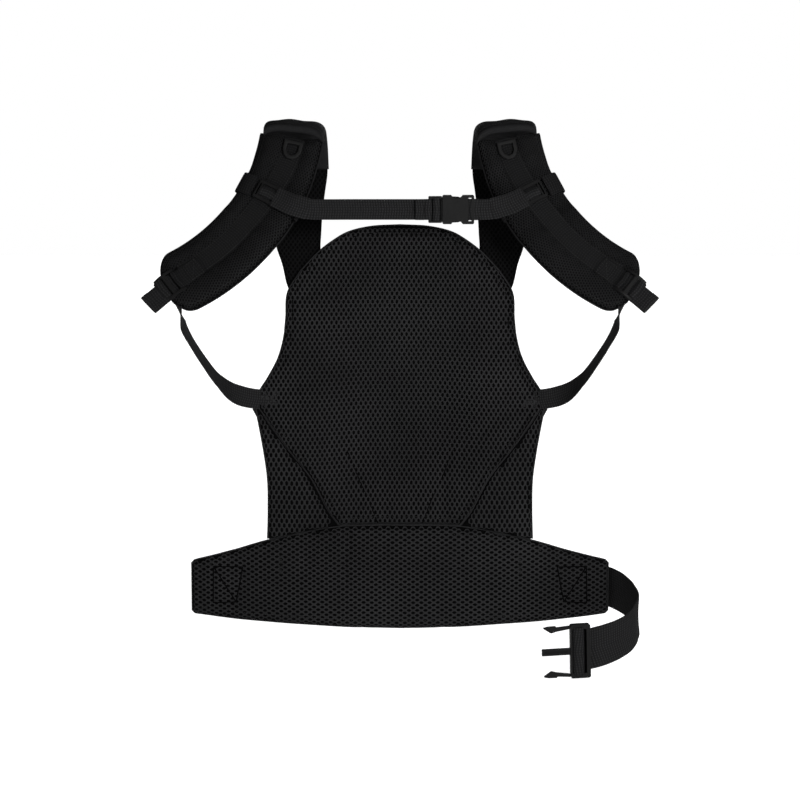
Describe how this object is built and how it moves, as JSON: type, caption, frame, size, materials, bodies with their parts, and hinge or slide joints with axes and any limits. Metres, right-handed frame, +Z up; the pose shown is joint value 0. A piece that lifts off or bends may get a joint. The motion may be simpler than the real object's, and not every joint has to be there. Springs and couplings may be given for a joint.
{
  "type": "soft baby carrier",
  "caption": "Soft baby carrier with a mesh body panel, padded waistband, padded shoulder straps, a chest strap and side-release buckles.",
  "frame": {"origin": "the middle of the waistband's inner face, on the wearer's side", "axes": "+Z up towards the shoulders, -Y towards the wearer, +X towards the side with the waist plug"},
  "size_m": [0.5974, 0.162, 0.6554],
  "materials": {
    "air_mesh": "knitted spacer mesh, black, matt",
    "smooth_cloth": "plain woven cloth, black",
    "webbing": "woven webbing, black, slight sheen",
    "foam": "soft foam core, dark grey",
    "plastic": "moulded acetal, black, satin",
    "rubber": "soft moulded rubber, black"
  },
  "bodies": {
    "root": {"waist_mesh": "air_mesh", "waist_foam": "foam", "waist_shell": "smooth_cloth", "waist_webbing": "webbing", "panel_mesh": "air_mesh", "panel_shell": "smooth_cloth", "left_side_gusset": "air_mesh", "right_side_gusset": "air_mesh", "chest_socket": "plastic", "left_chest_webbing": "webbing", "right_chest_webbing": "webbing", "waist_strap": "webbing", "socket_strap": "webbing", "left_rear_strap": "air_mesh", "left_shoulder_cap": "smooth_cloth", "left_pad_mesh": "air_mesh", "left_pad_foam": "foam", "left_pad_back": "smooth_cloth", "left_strap_webbing": "webbing", "left_rubber_loop": "rubber", "left_lock_tab": "webbing", "left_side_webbing": "webbing", "right_rear_strap": "air_mesh", "right_shoulder_cap": "smooth_cloth", "right_pad_mesh": "air_mesh", "right_pad_foam": "foam", "right_pad_back": "smooth_cloth", "right_strap_webbing": "webbing", "right_rubber_loop": "rubber", "right_lock_tab": "webbing", "right_side_webbing": "webbing"},
    "chest_plug": {"chest_plug": "plastic", "chest_pull_webbing": "webbing", "chest_tail": "webbing"},
    "chest_arm_upper": {"chest_arm_upper": "plastic"},
    "chest_arm_lower": {"chest_arm_lower": "plastic"},
    "waist_plug": {"waist_plug": "plastic"},
    "waist_arm_upper": {"waist_arm_upper": "plastic"},
    "waist_arm_lower": {"waist_arm_lower": "plastic"},
    "waist_socket": {"waist_socket": "plastic"},
    "left_slider": {"left_slider": "plastic", "left_chest_band": "webbing"},
    "left_ladder_lock": {"left_ladder_lock": "plastic"},
    "left_adjuster_tail": {"left_adjuster_tail": "webbing"},
    "right_slider": {"right_slider": "plastic", "right_chest_band": "webbing"},
    "right_ladder_lock": {"right_ladder_lock": "plastic"},
    "right_adjuster_tail": {"right_adjuster_tail": "webbing"}
  },
  "joints": [
    {"name": "left_slider_travel", "type": "hinge", "parent": "root", "child": "left_slider", "pos_m": [-0.364, 0.0054, 0.5619], "axis": [0, -0.9294, 0.369], "range_deg": [-6, 6], "deforming": ["left_chest_webbing"]},
    {"name": "left_ladder_tilt", "type": "hinge", "parent": "root", "child": "left_ladder_lock", "pos_m": [-0.25788, -0.07824, 0.36425], "axis": [-0.6159, 0.2907, 0.7322], "range_deg": [0, 30], "deforming": ["left_side_webbing"]},
    {"name": "left_tail_pull", "type": "slide", "parent": "left_ladder_lock", "child": "left_adjuster_tail", "axis": [-0.7879, -0.2273, -0.5724], "range_m": [0, 0.02], "deforming": ["left_side_webbing"]},
    {"name": "right_slider_travel", "type": "hinge", "parent": "root", "child": "right_slider", "pos_m": [0.364, 0.0054, 0.5619], "axis": [0, 0.9294, -0.369], "range_deg": [-6, 6], "deforming": ["right_chest_webbing"]},
    {"name": "right_ladder_tilt", "type": "hinge", "parent": "root", "child": "right_ladder_lock", "pos_m": [0.25788, -0.07824, 0.36425], "axis": [-0.6159, -0.2907, -0.7322], "range_deg": [0, 30], "deforming": ["right_side_webbing"]},
    {"name": "right_tail_pull", "type": "slide", "parent": "right_ladder_lock", "child": "right_adjuster_tail", "axis": [0.7879, -0.2273, -0.5724], "range_m": [0, 0.02], "deforming": ["right_side_webbing"]},
    {"name": "chest_pull", "type": "slide", "parent": "root", "child": "chest_plug", "axis": [-1, 0, 0], "range_m": [0, 0.026], "deforming": ["left_chest_webbing", "chest_pull_webbing"]},
    {"name": "chest_arm_upper_squeeze", "type": "hinge", "parent": "chest_plug", "child": "chest_arm_upper", "pos_m": [0.0495, -0.046, 0.4545], "axis": [0, 1, 0], "range_deg": [0, 7], "stiffness_Nm_per_rad": 0.05},
    {"name": "chest_arm_lower_squeeze", "type": "hinge", "parent": "chest_plug", "child": "chest_arm_lower", "pos_m": [0.0495, -0.046, 0.4335], "axis": [0, 1, 0], "range_deg": [-7, 0], "stiffness_Nm_per_rad": 0.05},
    {"name": "waist_plug_swivel", "type": "hinge", "parent": "root", "child": "waist_plug", "pos_m": [0.2235, -0.0712, -0.0755], "axis": [0, 0, 1], "range_deg": [-13, 25]},
    {"name": "waist_arm_upper_squeeze", "type": "hinge", "parent": "waist_plug", "child": "waist_arm_upper", "pos_m": [0.2011, -0.07436, -0.0465], "axis": [0.139, -0.9903, 0], "range_deg": [0, 7], "stiffness_Nm_per_rad": 0.12},
    {"name": "waist_arm_lower_squeeze", "type": "hinge", "parent": "waist_plug", "child": "waist_arm_lower", "pos_m": [0.2011, -0.07436, -0.1045], "axis": [0.139, -0.9903, 0], "range_deg": [-7, 0], "stiffness_Nm_per_rad": 0.12},
    {"name": "waist_socket_swivel", "type": "hinge", "parent": "root", "child": "waist_socket", "pos_m": [-0.2205, 0.053, -0.0245], "axis": [0, 0, 1], "range_deg": [-12, 20]}
  ],
  "couplings": [
    {"joint": "chest_arm_lower_squeeze", "follows": "chest_arm_upper_squeeze", "ratio": -1},
    {"joint": "waist_arm_lower_squeeze", "follows": "waist_arm_upper_squeeze", "ratio": -1}
  ]
}
